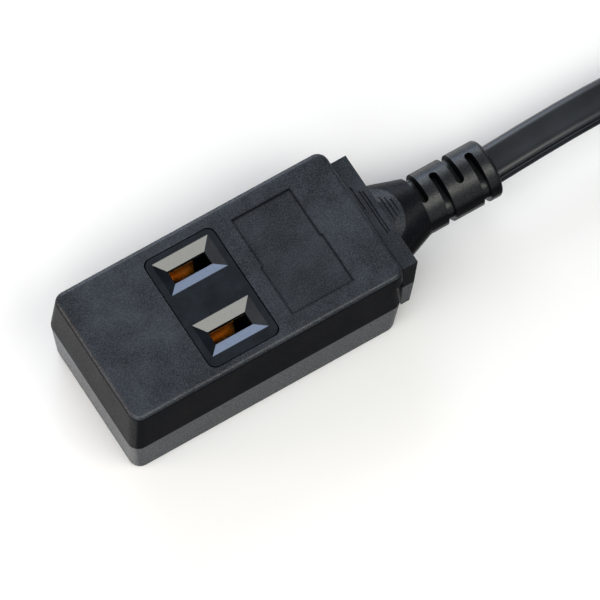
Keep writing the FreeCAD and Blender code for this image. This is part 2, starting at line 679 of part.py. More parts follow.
def plug_blade():
    """A flat brass blade with slanted tip corners, a hole, and a tail with a wire crimp."""
    y, z = "plug_y + slot_y", "plug_z"
    blade = box("blade_plate", ("plug_face_x - blade_length", "bridge_x"),
                (f"{y} - blade_thick / 2", f"{y} + blade_thick / 2"),
                (f"{z} - blade_width / 2", f"{z} + blade_width / 2"))
    tip_x = number("plug_face_x") - number("blade_length")
    tip = chamfered("blade_tipped", blade, number("blade_tip"),
                    lambda b: abs(b.XMax - tip_x) < 1e-4 and b.YLength > 0.1 and b.ZLength < 1e-4)
    hole = DOC.addObject("Part::Cylinder", "blade_hole_bar")
    bind(hole, {"Radius": "blade_hole / 2", "Height": "blade_thick + 2"})
    place(hole, "plug_face_x - blade_length + blade_hole_from_tip", f"{y} + blade_thick / 2 + 1", z, UPRIGHT)
    plate = cut("blade_pierced", tip, hole)
    neck = middle_box("blade_neck", ("bridge_x - 0.5", "bridge_x + 0.6"), "blade_thick / 2", "tail_width / 2", z, y)
    tail = box("blade_tail_strip", ("bridge_x + 0.05", "tail_x + 0.2"),
               (f"{y} - crimp_radius", f"{y} - crimp_radius + blade_thick"),
               (f"{z} - tail_width / 2", f"{z} + tail_width / 2"))
    barrel = crimp("blade_crimp", ("tail_x", "tail_grip_x - 0.5"), y, z,
                   "strand_radius + wire_clearance", "crimp_radius")
    return fuse("plug_blade_back", [plate, neck, tail, barrel])


def plug_bridge():
    block = middle_box("bridge_block", ("plug_face_x", "bridge_x"), "bridge_width / 2", "bridge_height / 2",
                       "plug_z", "plug_y")
    soft = rounded("bridge_soft", block, 1.5, lambda b: b.XLength > 1)
    cutters = []
    for side, y in (("back", "plug_y + slot_y"), ("front", "plug_y - slot_y")):
        cutters.append(middle_box(f"bridge_slot_{side}", ("plug_face_x - 1", "bridge_x + 1"),
                                  "blade_thick / 2 + 0.03", "blade_width / 2 + 0.03", "plug_z", y))
    return cut("plug_bridge", soft, fuse("bridge_slots", cutters))


def tapering(name, x, wide, narrow):
    """A block that narrows along X round the plug's middle line: each end is (half width, half height)."""
    wedge = DOC.addObject("Part::Wedge", name)
    bind(wedge, {
        "Ymin": "0", "Ymax": f"({x[1]}) - ({x[0]})",
        "Xmin": f"-({wide[0]})", "Xmax": wide[0], "Zmin": f"-({wide[1]})", "Zmax": wide[1],
        "X2min": f"-({narrow[0]})", "X2max": narrow[0], "Z2min": f"-({narrow[1]})", "Z2max": narrow[1],
    })
    return place(wedge, x[0], "plug_y", "plug_z", Rotation(Vector(0, 0, 1), -90))


def plug_moulding():
    """A broad grip for the fingers, tapering to a round strain relief."""
    grip = middle_box("plug_grip_block", ("plug_face_x", "plug_grip_x"), "plug_width / 2", "plug_thick / 2",
                      "plug_z", "plug_y")
    taper = tapering("plug_taper_block", ("plug_grip_x", "plug_neck_x"), ("plug_width / 2", "plug_thick / 2"),
                     ("plug_relief_radius", "plug_relief_radius"))
    body = rounded("plug_body_soft", fuse("plug_body", [grip, taper]), number("plug_corner"),
                   lambda b: b.XLength > 1 and b.YLength * b.ZLength < 1e-6 or b.XLength > 1 and b.YLength > 1)
    rim = chamfered("plug_body_rim", body, number("plug_rim"), at_x(number("plug_face_x")))
    relief_bar = rod("plug_relief_bar", ("plug_neck_x", "plug_exit_x"), "plug_y", "plug_z", "plug_relief_radius")
    relief = chamfered("plug_relief_done", relief_bar, number("plug_rim"), at_x(number("plug_exit_x")))
    outside = fuse("plug_outside", [rim, relief])
    cutters = [middle_box("plug_bridge_room", ("plug_face_x - 1", "bridge_x + 0.05"), "bridge_width / 2 + 0.05",
                          "bridge_height / 2 + 0.05", "plug_z", "plug_y")]
    for side, y in (("back", "plug_y + slot_y"), ("front", "plug_y - slot_y")):
        cutters.append(middle_box(f"tail_room_{side}", ("bridge_x", "tail_grip_x"), "crimp_radius + 0.05",
                                  "crimp_radius + 0.05", "plug_z", y))
    cutters += PLUG_CHANNELS
    cutters += plug_relief_slots()
    return cut("plug_moulding", outside, fuse("plug_cutters", cutters))


def plug_relief_slots():
    """Ring slots of the plug's strain relief, from alternate sides."""
    cutters = []
    for i in range(3):
        side = 1 if i % 2 == 0 else -1
        start = f"plug_neck_x + 2 + {i} * relief_pitch"
        across = ("plug_y + relief_core_width / 2", "plug_y + relief_radius + 1")
        if side < 0:
            across = ("plug_y - relief_radius - 1", "plug_y - relief_core_width / 2")
        upright = ("plug_z - relief_radius", "plug_z + relief_radius")
        cutters.append(box(f"plug_slot_{i}", (start, f"{start} + relief_slot"), across, upright))
    return cutters


# Strands in the crimps

def strands(name, x, y, z):
    return rod(name, x, y, z, "strand_radius")


def named(piece, label):
    piece.Label = label
    return piece


MOULDING = socket_moulding()
CONTACT = contact()
BLADE = plug_blade()
SOCKET_STRANDS = ("slots_x + crimp_start + 0.1", "slots_x + grip_start")
PLUG_STRANDS = ("tail_x + 0.3", "tail_grip_x")
DOC.recompute()


def blade_twin():
    """The plug's other blade, on the other side of the plug's own middle plane."""
    twin = DOC.addObject("Part::Mirroring", "plug_blade_front")
    twin.Source = BLADE
    twin.Normal = Vector(0, 1, 0)
    bind(twin, {"Base.y": "plug_y"})
    return twin


SUBPARTS = [
    named(MOULDING, "socket_moulding"),
    named(slot_insert(), "slot_insert"),
    named(carrier_base(), "carrier_base"),
    named(CONTACT, "contact_back"),
    named(mirrored("contact_twin", CONTACT), "contact_front"),
    named(SOCKET_WIRES[0], "wire_back"),
    named(SOCKET_WIRES[1], "wire_front"),
    named(strands("strands_back_rod", SOCKET_STRANDS, "slot_y", "middle_z"), "strands_back"),
    named(strands("strands_front_rod", SOCKET_STRANDS, "-slot_y", "middle_z"), "strands_front"),
    named(cord_run(), "cord_run"),
    named(cord_coil(), "cord_coil"),
    named(cord_lead(), "cord_lead"),
    named(plug_moulding(), "plug_moulding"),
    named(plug_bridge(), "plug_bridge"),
    named(BLADE, "plug_blade_back"),
    named(blade_twin(), "plug_blade_front"),
    named(PLUG_WIRES[0], "plug_wire_back"),
    named(PLUG_WIRES[1], "plug_wire_front"),
    named(strands("plug_strands_back_rod", PLUG_STRANDS, "plug_y + slot_y", "plug_z"), "plug_strands_back"),
    named(strands("plug_strands_front_rod", PLUG_STRANDS, "plug_y - slot_y", "plug_z"), "plug_strands_front"),
]
DOC.recompute()

for thing in DOC.Objects:
    if "Invalid" in thing.State or "Error" in thing.State:
        raise RuntimeError(f"{thing.Name} failed to build: {thing.State}")
for piece in SUBPARTS:
    if piece.Shape.isNull() or not piece.Shape.isValid():
        raise RuntimeError(f"{piece.Label} has no valid shape")

os.makedirs("parts", exist_ok=True)
for piece in SUBPARTS:
    piece.Shape.exportStep(f"parts/{piece.Label}.step")
    print(piece.Label, "solids", len(piece.Shape.Solids), "volume", round(piece.Shape.Volume, 1))
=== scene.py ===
import math

import bpy
from mathutils import Matrix, Vector


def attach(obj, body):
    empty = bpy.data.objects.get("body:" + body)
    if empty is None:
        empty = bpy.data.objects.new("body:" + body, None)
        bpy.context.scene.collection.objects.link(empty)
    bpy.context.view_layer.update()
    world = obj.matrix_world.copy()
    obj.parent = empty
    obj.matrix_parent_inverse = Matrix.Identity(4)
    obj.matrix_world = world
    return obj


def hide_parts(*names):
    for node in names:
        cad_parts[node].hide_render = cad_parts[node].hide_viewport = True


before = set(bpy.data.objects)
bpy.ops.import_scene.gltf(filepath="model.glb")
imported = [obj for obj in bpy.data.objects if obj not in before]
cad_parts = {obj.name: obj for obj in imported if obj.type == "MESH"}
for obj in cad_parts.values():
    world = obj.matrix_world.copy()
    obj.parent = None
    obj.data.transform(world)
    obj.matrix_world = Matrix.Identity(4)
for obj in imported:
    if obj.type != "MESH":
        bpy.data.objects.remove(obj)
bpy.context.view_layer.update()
MM = 0.001

# Camera: a long lens, from the photograph's angle
CAMERA_AZIMUTH = -31.6
CAMERA_ELEVATION = 65.29
CAMERA_ROLL = 0.32
FOCAL_PIXELS = 8000.0
PIXELS_PER_MM = 6.10
FRAME_PIXELS = 600
LOOK_AT = Vector((-13.3, 0.0, 9.0)) * MM
LOOK_AT_PIXEL = (220.92, 315.94)
SENSOR = 36.0
NEAREST_SEEN = 0.05
FARTHEST_SEEN = 20.0


def make_camera():
    """Places the camera so that LOOK_AT falls on its pixel, with no lens shift."""
    azimuth = math.radians(CAMERA_AZIMUTH)
    elevation = math.radians(CAMERA_ELEVATION)
    roll = math.radians(CAMERA_ROLL)
    back = Vector((
        math.sin(azimuth) * math.cos(elevation),
        -math.cos(azimuth) * math.cos(elevation),
        math.sin(elevation),
    ))
    level = Vector((math.cos(azimuth), math.sin(azimuth), 0.0))
    upward = back.cross(level)
    right = level * math.cos(roll) + upward * math.sin(roll)
    up = upward * math.cos(roll) - level * math.sin(roll)
    aside = (FRAME_PIXELS / 2 - LOOK_AT_PIXEL[0]) / FOCAL_PIXELS
    above = (LOOK_AT_PIXEL[1] - FRAME_PIXELS / 2) / FOCAL_PIXELS
    forward = (right * aside + up * above - back).normalized()
    right = (right - forward * right.dot(forward)).normalized()
    up = right.cross(forward)
    data = bpy.data.cameras.new("photo_camera")
    data.sensor_width = SENSOR
    data.lens = FOCAL_PIXELS * SENSOR / FRAME_PIXELS
    data.clip_start = NEAREST_SEEN
    data.clip_end = FARTHEST_SEEN
    camera = bpy.data.objects.new("photo_camera", data)
    turn = Matrix((right, up, -forward)).transposed().to_4x4()
    spot = LOOK_AT + back * (FOCAL_PIXELS / PIXELS_PER_MM * MM)
    camera.matrix_world = Matrix.Translation(spot) @ turn
    bpy.context.scene.collection.objects.link(camera)
    bpy.context.scene.camera = camera


make_camera()

# Cord: route and section in millimetres of the part's own frame, angles in degrees
CORD_THICK = 3.5
CORE_RADIUS = CORD_THICK / 2
CORD_EXIT = (38.3, 0.0, 9.7)
RUN_POINTS = [CORD_EXIT, (64.3, 1.05, 10.7), (80.3, 0.85, 3.5), (91.0, 0.3, 3.5)]
COIL_LEVEL = 3.5
RIGHT_MIDDLE = (92.3, -40.8)
LEFT_MIDDLE = (92.3, -42.6)
FIRST_RADIUS = 40.8
HALF_TURN_STEP = 1.8
HALF_TURNS = 8
POINTS_PER_HALF = 8
TAIL_RADIUS = 26.4
TAIL_ANGLES = (90.0, 30.0)
TAIL_POINTS = 3
LEAD_MIDDLE = (96.54, -38.35)
LEAD_RADIUS = 21.5
LEAD_ANGLES = (30.0, -90.0)
LEAD_LEVELS = [3.5, 4.9, 7.2, 9.9, 12.3, 13.5]
PLUG_CORD_END = (94.3, -59.85, 13.5)
VALLEY_HALF = 1.58
VALLEY_SHARES = (0.5, 0.0, -0.5)
COARSE_STEP = 8.0
FINE_STEP = 1.5
SPLINE_STEPS = 6

# Cord: two ridges and the groove between them, by degrees round from the valley and height
RIDGES = ((38.0, 0.15), (47.0, -0.30), (57.0, 0.12))
RIDGE_SPREAD = 4.0
RIDGE_REACH = 3 * RIDGE_SPREAD

# Cord: length and first twist in metres, last twist as shares of the spline's length
TWIST_DOWN = (0.026, 0.056)
TWIST_UP = (0.926, 0.970)


def turn_points(middle, radius, angles, levels):
    """Control points, one at each level, whose spline follows a circle between two angles."""
    start, end = angles
    step = (end - start) / len(levels)
    reach = radius / math.cos(math.radians(step / 2))
    points = []
    for k, level in enumerate(levels):
        angle = math.radians(start + step * (k + 0.5))
        across = middle[0] + reach * math.cos(angle)
        along = middle[1] + reach * math.sin(angle)
        points.append((across, along, level))
    return points


def cord_route():
    """Out of the strain relief, down to the floor, round the coil and up to the plug."""
    points = list(RUN_POINTS)
    for half in range(HALF_TURNS):
        middle = LEFT_MIDDLE if half % 2 else RIGHT_MIDDLE
        start = -90.0 if half % 2 else 90.0
        radius = FIRST_RADIUS - HALF_TURN_STEP * half
        points += turn_points(middle, radius, (start, start - 180.0), [COIL_LEVEL] * POINTS_PER_HALF)
    points += turn_points(RIGHT_MIDDLE, TAIL_RADIUS, TAIL_ANGLES, [COIL_LEVEL] * TAIL_POINTS)
    points += turn_points(LEAD_MIDDLE, LEAD_RADIUS, LEAD_ANGLES, LEAD_LEVELS)
    points.append(PLUG_CORD_END)
    return [Vector(point) * MM for point in points]


def smooth_line(points):
    """The points that a smooth spline through this route gives."""
    data = bpy.data.curves.new("cord_route", "CURVE")
    data.dimensions = "3D"
    data.resolution_u = SPLINE_STEPS
    spline = data.splines.new("NURBS")
    spline.points.add(len(points) - 1)
    for knot, point in zip(spline.points, points):
        knot.co = (point.x, point.y, point.z, 1.0)
    spline.order_u = 3
    spline.use_endpoint_u = True
    guide = bpy.data.objects.new("cord_route", data)
    bpy.context.scene.collection.objects.link(guide)
    bpy.context.view_layer.update()
    line = bpy.data.meshes.new_from_object(guide)
    path = [vertex.co.copy() for vertex in line.vertices]
    bpy.data.meshes.remove(line)
    bpy.data.objects.remove(guide)
    return path


def ridge_bump(angle, place, height):
    """How far a ridge lifts the skin at this angle, or the groove lowers it."""
    return height * math.exp(-((angle - 90.0 - place) / RIDGE_SPREAD) ** 2)


def core_arc(side, angles):
    """Points round one core, at these angles from its own middle. The core at -1 has the ridges."""
    ridges = RIDGES if side < 0 else []
    points = []
    for angle in angles:
        reach = CORE_RADIUS + sum(ridge_bump(angle, *ridge) for ridge in ridges)
        turn = math.radians(angle)
        points.append((side * CORE_RADIUS + reach * math.cos(turn), reach * math.sin(turn)))
    return points


def spread_angles(start, end, step):
    """Even angles from start to just before end, about a step apart."""
    count = max(1, round((end - start) / step))
    return [start + (end - start) * k / count for k in range(count)]


def cord_section():
    """Outline of the flat twin: two cores, a shallow valley each side, fine ridges on one flank."""
    edge = math.degrees(math.acos((VALLEY_HALF - CORE_RADIUS) / CORE_RADIUS))
    rim = CORE_RADIUS * math.sin(math.radians(edge))
    slope = (CORE_RADIUS - VALLEY_HALF) / rim
    floor = rim - slope * VALLEY_HALF / 2
    outer = spread_angles(-edge, edge, COARSE_STEP) + [edge]
    fine_from = 90.0 + RIDGES[0][0] - RIDGE_REACH
    fine_to = 90.0 + RIDGES[-1][0] + RIDGE_REACH
    ridged = spread_angles(180.0 - edge, fine_from, COARSE_STEP)
    ridged += spread_angles(fine_from, fine_to, FINE_STEP)
    ridged += spread_angles(fine_to, 180.0 + edge, COARSE_STEP) + [180.0 + edge]
    valley = [(VALLEY_HALF * share, floor + (rim - floor) * share ** 2) for share in VALLEY_SHARES]
    outline = core_arc(1, outer) + valley
    outline += core_arc(-1, ridged)
    outline += [(-across, -height) for across, height in valley]
    return outline


def eased(share):
    """The share, held between 0 and 1, with a gentle start and end."""
    share = min(max(share, 0.0), 1.0)
    return share * share * (3 - 2 * share)


def run_lengths(path):
    """How far along the path each of its points lies."""
    runs = [0.0]
    for before, after in zip(path, path[1:]):
        runs.append(runs[-1] + (after - before).length)
    return runs


def cord_twist(run, whole):
    """How far the section is turned: level at the exit, on edge in the coil, level at the plug."""
    down = eased((run - TWIST_DOWN[0]) / (TWIST_DOWN[1] - TWIST_DOWN[0]))
    back = eased((run / whole - TWIST_UP[0]) / (TWIST_UP[1] - TWIST_UP[0]))
    return math.pi / 2 * (down - back)


def cord_ring(path, k, twist, outline):
    """The outline set round point k of the path, square to it."""
    ahead = path[min(k + 1, len(path) - 1)] - path[max(k - 1, 0)]
    ahead.normalize()
    aside = Vector((0.0, 0.0, 1.0)).cross(ahead).normalized()
    above = ahead.cross(aside)
    wide = aside * math.cos(twist) + above * math.sin(twist)
    thin = above * math.cos(twist) - aside * math.sin(twist)
    return [path[k] + wide * across + thin * height for across, height in outline]


def skin_faces(rings, ring):
    """Faces between each ring of points and the next one."""
    faces = []
    for first in range(0, (rings - 1) * ring, ring):
        for j in range(ring):
            here = first + j
            beside = first + (j + 1) % ring
            faces.append((here, here + ring, beside + ring, beside))
    return faces


def cord_mesh(path):
    """The flat section along the path, with a flat face at each end."""
    outline = [Vector(point) * MM for point in cord_section()]
    runs = run_lengths(path)
    vertices = []
    for k, run in enumerate(runs):
        vertices += cord_ring(path, k, cord_twist(run, runs[-1]), outline)
    ring = len(outline)
    faces = skin_faces(len(path), ring)
    ends = len(vertices)
    vertices += vertices[:ring] + vertices[-ring:]
    faces.append(tuple(range(ends, ends + ring)))
    faces.append(tuple(reversed(range(ends + ring, ends + 2 * ring))))
    mesh = bpy.data.meshes.new("twin_cord")
    mesh.from_pydata(vertices, [], faces)
    mesh.polygons.foreach_set("use_smooth", [True] * (len(faces) - 2) + [False] * 2)
    mesh.update()
    return mesh


CORD_PATH = smooth_line(cord_route())
twin_cord = bpy.data.objects.new("twin_cord", cord_mesh(CORD_PATH))
bpy.context.scene.collection.objects.link(twin_cord)
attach(twin_cord, "root")
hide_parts("cord_run", "cord_coil", "cord_lead")

# Node helpers: every socket takes a value or another node's output


def add(tree, kind, sockets=None, **settings):
    """A new node of this kind, its settings made and its sockets filled or linked."""
    made = tree.nodes.new(kind)
    for option, value in settings.items():
        setattr(made, option, value)
    for label, value in (sockets or {}).items():
        if isinstance(value, bpy.types.NodeSocket):
            tree.links.new(value, made.inputs[label])
        else:
            made.inputs[label].default_value = value
    return made


def maths(tree, operation, first, second=0.0):
    return add(tree, "ShaderNodeMath", {0: first, 1: second}, operation=operation).outputs[0]


def product(tree, first, second):
    return maths(tree, "MULTIPLY", first, second)


def difference(tree, first, second):
    return maths(tree, "SUBTRACT", first, second)


def unsigned(tree, value):
    return maths(tree, "ABSOLUTE", value)


def axes(tree, vector):
    """The vector's X, Y and Z."""
    return add(tree, "ShaderNodeSeparateXYZ", {0: vector}).outputs


def in_mm(tree, point, squeeze=1.0):
    """The point in millimetres, squeezed along X where a pattern is drawn out that way."""
    factors = (squeeze / MM, 1.0 / MM, 1.0 / MM)
    scaled = add(tree, "ShaderNodeVectorMath", {0: point, 1: factors}, operation="MULTIPLY")
    return scaled.outputs[0]


def noise(tree, vector, scale, detail=2.0, roughness=0.5):
    sockets = {"Vector": vector, "Scale": scale, "Detail": detail, "Roughness": roughness}
    return add(tree, "ShaderNodeTexNoise", sockets).outputs["Fac"]


def steps(tree, value, begins, full):
    """0 until the value where it begins, 1 from the value where it is full, eased between."""
    sockets = {"Value": value, "From Min": begins, "From Max": full}
    return add(tree, "ShaderNodeMapRange", sockets, interpolation_type="SMOOTHSTEP").outputs["Result"]


def new_group(name, inputs, outputs):
    """An empty effect, with the sockets that come into it and that it gives out."""
    group = bpy.data.node_groups.new(name, "ShaderNodeTree")
    for label, kind, value in inputs:
        socket = group.interface.new_socket(label, in_out="INPUT", socket_type=kind)
        if value is not None:
            socket.default_value = value
    for label in outputs:
        group.interface.new_socket(label, in_out="OUTPUT", socket_type="NodeSocketFloat")
    start = group.nodes.new("NodeGroupInput").outputs
    end = group.nodes.new("NodeGroupOutput").inputs
    return group, start, end


def give(group, end, results):
    """Links each result to the effect's output of that name."""
    for label, value in results.items():
        group.links.new(value, end[label])


POINT = ("Point", "NodeSocketVector", None)
FLOAT = "NodeSocketFloat"

# Places that the looks follow, in millimetres of the part's own frame
MOULD_LINE = 9.7
NECK_START = 17.55
PAD_LENGTH = 3.4
PAD_HALF_WIDTH = 5.1
RELIEF_START = 24.3
PANEL_LEVEL = 19.1
PANEL_MIDDLE = 0.15
PANEL_HALF = (5.55, 9.75)
PANEL_STEP = 0.3
SLOT_FACE = 19.36
CONTACT_LIPS = 16.3
PLUG_MOULD_LINE = 13.5

# A place off the part, for an effect that a piece doesn't have
NOWHERE = 999.0

# Patterns: how many of them there are in a millimetre
RUBBED_PLACES_PER_MM = 0.12
SPECKS_PER_MM = 0.9
TARNISH_PER_MM = 0.5

# Patterns: the squeeze along X that draws them out
MARKS_SQUEEZE = 0.25
ROLLING_SQUEEZE = 0.06

# Masks: the value at which each one begins, and the value at which it is full
PATCHES = (0.24, 0.76)
RUBBED_LINES = (0.58, 0.7)
RUBBED_PLACES = (0.5, 0.66)
SPECK_SIZE = (0.09, 0.05)
SPECK_CHANCE = (0.72, 0.8)
TARNISH = (0.4, 0.7)
BELOW_LINE = (0.5, -0.5)
AT_LINE = (1.0, 0.3)
END_TILT = (0.55, 0.75)
PAST_NECK_START = (-0.05, 0.05)
PAST_RELIEF_START = (-0.1, 0.1)
OFF_PAD = (0.94, 1.06)
PAD_EDGE = (0.12, 0.0)
ON_PANEL = (0.2, 0.1)
PANEL_NEAR_HALF = (0.02, -0.02)
BORDER_ACROSS = (0.42, 0.04)
BORDER_DEEP = (0.5, 0.4)

# How much of the skin's texture the panel loses
PANEL_SMOOTHNESS = 0.18


def build_grain():
    """Moulded skin: fine grain over broad, slow patches. Height is in millimetres."""
    inputs = [
        POINT, ("Grain per mm", FLOAT, 4.0), ("Patches per mm", FLOAT, 0.2),
        ("Grain height", FLOAT, 0.01), ("Wave height", FLOAT, 0.02),
    ]
    group, start, end = new_group("moulded_grain", inputs, ["Grain", "Patches", "Height"])
    point = in_mm(group, start["Point"])
    grain = noise(group, point, start["Grain per mm"], detail=3.0, roughness=0.6)
    patches = noise(group, point, start["Patches per mm"], detail=5.0, roughness=0.62)
    fine = product(group, grain, start["Grain height"])
    slow = product(group, patches, start["Wave height"])
    give(group, end, {
        "Grain": grain,
        "Patches": steps(group, patches, *PATCHES),
        "Height": maths(group, "ADD", fine, slow),
    })
    return group


def build_marks():
    """Dust specks and short rubbed marks from handling."""
    inputs = [POINT, ("Marks per mm", FLOAT, 0.6), ("Amount", FLOAT, 0.3)]
    group, start, end = new_group("handling_marks", inputs, ["Marks", "Specks"])
    point = in_mm(group, start["Point"])
    drawn = in_mm(group, start["Point"], MARKS_SQUEEZE)
    lines = noise(group, drawn, start["Marks per mm"], detail=4.0, roughness=0.7)
    places = noise(group, point, RUBBED_PLACES_PER_MM)
    rubbed = product(group, steps(group, lines, *RUBBED_LINES), steps(group, places, *RUBBED_PLACES))
    sockets = {"Vector": point, "Scale": SPECKS_PER_MM, "Randomness": 1.0}
    cells = add(group, "ShaderNodeTexVoronoi", sockets).outputs
    chance = add(group, "ShaderNodeSeparateColor", {"Color": cells["Color"]}).outputs[0]
    small = steps(group, cells["Distance"], *SPECK_SIZE)
    speck = product(group, small, steps(group, chance, *SPECK_CHANCE))
    give(group, end, {
        "Marks": product(group, rubbed, start["Amount"]),
        "Specks": product(group, speck, start["Amount"]),
    })
    return group


def build_halves():
    """Where the two mould halves meet: what lies below the level, and the thin line at it."""
    inputs = [
        POINT, ("Level mm", FLOAT, MOULD_LINE), ("Blend mm", FLOAT, 0.1), ("Line mm", FLOAT, 0.09),
    ]
    group, start, end = new_group("mould_halves", inputs, ["Below", "Line"])
    height = axes(group, in_mm(group, start["Point"]))["Z"]
    above = difference(group, height, start["Level mm"])
    share = maths(group, "DIVIDE", above, start["Blend mm"])
    near = maths(group, "DIVIDE", unsigned(group, above), start["Line mm"])
    give(group, end, {
        "Below": steps(group, share, *BELOW_LINE),
        "Line": steps(group, near, *AT_LINE),
    })
    return group


def build_rolled_metal():
    """Rolling lines along the strip and dull, handled patches."""
    inputs = [POINT, ("Lines per mm", FLOAT, 6.0), ("Line height", FLOAT, 0.003)]
    group, start, end = new_group("rolled_metal", inputs, ["Lines", "Tarnish", "Height"])
    lines = noise(group, in_mm(group, start["Point"], ROLLING_SQUEEZE), start["Lines per mm"])
    tarnish = noise(group, in_mm(group, start["Point"]), TARNISH_PER_MM, detail=4.0, roughness=0.6)
    give(group, end, {
        "Lines": lines,
        "Tarnish": steps(group, tarnish, *TARNISH),
        "Height": product(group, lines, start["Line height"]),
    })
    return group


def build_facing():
    """Masks by which way a surface looks: upright walls, and faces towards the part's two ends."""
    inputs = [("Start", FLOAT, 0.7), ("Full", FLOAT, 0.35)]
    group, start, end = new_group("facing", inputs, ["Walls", "Ends"])
    normal = axes(group, add(group, "ShaderNodeNewGeometry").outputs["Normal"])
    give(group, end, {
        "Walls": steps(group, unsigned(group, normal["Z"]), start["Start"], start["Full"]),
        "Ends": steps(group, unsigned(group, normal["X"]), *END_TILT),
    })
    return group


def painted_panel_border_shade(group, place, depth):
    """Painted shade along the panel's border, whose near half is a step wider to each side."""
    step = product(group, steps(group, place["Y"], *PANEL_NEAR_HALF), PANEL_STEP)
    half = maths(group, "ADD", step, PANEL_HALF[0])
    past_side = difference(group, unsigned(group, difference(group, place["X"], PANEL_MIDDLE)), half)
    past_end = difference(group, unsigned(group, place["Y"]), PANEL_HALF[1])
    border = unsigned(group, maths(group, "MAXIMUM", past_side, past_end))
    return product(group, steps(group, border, *BORDER_ACROSS), steps(group, depth, *BORDER_DEEP))


def build_finish():
    """Where the skin is textured or polished, the edge of the finger pads, and painted shade along the
    panel's border.
    """
    inputs = [
        POINT, ("Neck starts mm", FLOAT, NECK_START), ("Pad length mm", FLOAT, PAD_LENGTH),
        ("Pad half width mm", FLOAT, PAD_HALF_WIDTH), ("Relief starts mm", FLOAT, RELIEF_START),
        ("Panel level mm", FLOAT, PANEL_LEVEL),
    ]
    outputs = ["Textured", "Pad edge", "Neck", "Relief", "Panel rim painted shade"]
    group, start, end = new_group("mould_finish", inputs, outputs)
    place = axes(group, in_mm(group, start["Point"]))
    past = difference(group, place["X"], start["Neck starts mm"])
    along = maths(group, "DIVIDE", past, start["Pad length mm"])
    across = maths(group, "DIVIDE", place["Y"], start["Pad half width mm"])
    reach = maths(group, "ADD", maths(group, "POWER", along, 2.0), maths(group, "POWER", across, 2.0))
    beyond = steps(group, past, *PAST_NECK_START)
    neck = product(group, beyond, steps(group, reach, *OFF_PAD))
    from_edge = unsigned(group, difference(group, reach, 1.0))
    past_relief = difference(group, place["X"], start["Relief starts mm"])
    relief = steps(group, past_relief, *PAST_RELIEF_START)
    depth = unsigned(group, difference(group, place["Z"], start["Panel level mm"]))
    panel = product(group, steps(group, depth, *ON_PANEL), PANEL_SMOOTHNESS)
    give(group, end, {
        "Textured": difference(group, 1.0, maths(group, "MAXIMUM", neck, panel)),
        "Pad edge": product(group, steps(group, from_edge, *PAD_EDGE), beyond),
        "Neck": difference(group, neck, relief),
        "Relief": relief,
        "Panel rim painted shade": painted_panel_border_shade(group, place, depth),
    })
    return group


GRAIN = build_grain()
FACING = build_facing()
FINISH = build_finish()
MARKS = build_marks()
HALVES = build_halves()
ROLLED = build_rolled_metal()

# Every edge is softened by this radius in millimetres
EDGE_RADIUS = 0.12


class Look:
    """One material: a Principled shader with the part's own coordinates and one bump."""

    def __init__(self, name, **values):
        self.material = bpy.data.materials.new(name)
        self.material.use_nodes = True
        self.tree = self.material.node_tree
        self.tree.nodes.clear()
        self.shader = add(self.tree, "ShaderNodeBsdfPrincipled")
        for label, value in values.items():
            self.shader.inputs[label.replace("_", " ")].default_value = value
        output = add(self.tree, "ShaderNodeOutputMaterial")
        self.tree.links.new(self.shader.outputs[0], output.inputs["Surface"])
        self.point = add(self.tree, "ShaderNodeTexCoord").outputs["Object"]

    def effect(self, group, **values):
        """Places a shared effect with this material's own values."""
        made = add(self.tree, "ShaderNodeGroup", node_tree=group)
        if "Point" in made.inputs:
            self.tree.links.new(self.point, made.inputs["Point"])
        for label, value in values.items():
            made.inputs[label.replace("_", " ")].default_value = value
        return made.outputs

    def blend(self, factor, first, second):
        """The first colour where the factor is 0, the second where it is 1."""
        mixed = add(self.tree, "ShaderNodeMix", {"Factor": factor}, data_type="RGBA")
        sides = [socket for socket in mixed.inputs if socket.type == "RGBA"]
        for socket, colour in zip(sides, (first, second)):
            if isinstance(colour, bpy.types.NodeSocket):
                self.tree.links.new(colour, socket)
            else:
                socket.default_value = (*colour, 1.0)
        return [socket for socket in mixed.outputs if socket.type == "RGBA"][0]

    def range(self, factor, low, high):
        """Low where the factor is 0, high where it is 1."""
        sockets = {"Value": factor, "To Min": low, "To Max": high}
        return add(self.tree, "ShaderNodeMapRange", sockets).outputs["Result"]

    def sum(self, *values):
        total = values[0]
        for value in values[1:]:
            total = maths(self.tree, "ADD", total, value)
        return total

    def times(self, first, second):
        return product(self.tree, first, second)

    def drive(self, label, value):
        self.tree.links.new(value, self.shader.inputs[label])

    def bump(self, height):
        """Surface relief in millimetres, over softened edges."""
        edges = add(self.tree, "ShaderNodeBevel", {"Radius": EDGE_RADIUS * MM}, samples=4)
        sockets = {"Height": height, "Strength": 1.0, "Distance": MM, "Normal": edges.outputs["Normal"]}
        bump = add(self.tree, "ShaderNodeBump", sockets)
        self.tree.links.new(bump.outputs["Normal"], self.shader.inputs["Normal"])


# Moulded vinyl: colours
SKIN_DARK = (0.004, 0.006, 0.009)
SKIN_LIGHT = (0.058, 0.068, 0.084)
SPECK_GREY = (0.12, 0.12, 0.13)
POLISHED_NECK = (0.002, 0.003, 0.005)
POLISHED_RELIEF = (0.007, 0.009, 0.011)
NEAR_BLACK = (0.002, 0.002, 0.003)

# Moulded vinyl: how much each pattern lightens the skin, and how strongly near black covers it: painted
# shade on the upper walls and along the panel's border, and the dark mould line
CLOUDS_TOP = 0.42
CLOUDS_WALLS = 0.22
SPECKLE = (0.36, 0.74)
SPECKLE_LIGHT = 0.4
LEAST_LIGHT = 0.04
SPECK_SHARE = 0.7
UPPER_WALL_PAINTED_SHADE = 0.92
SEAM_SHADE = 0.6
BORDER_SHADE = 0.45

# Moulded vinyl: roughness, and heights in millimetres
SKIN_ROUGHNESS = (0.4, 0.55)
SKIN_RUBBED_ROUGHNESS = 0.12
SEAM_HEIGHT = -0.05
PAD_EDGE_HEIGHT = 0.04

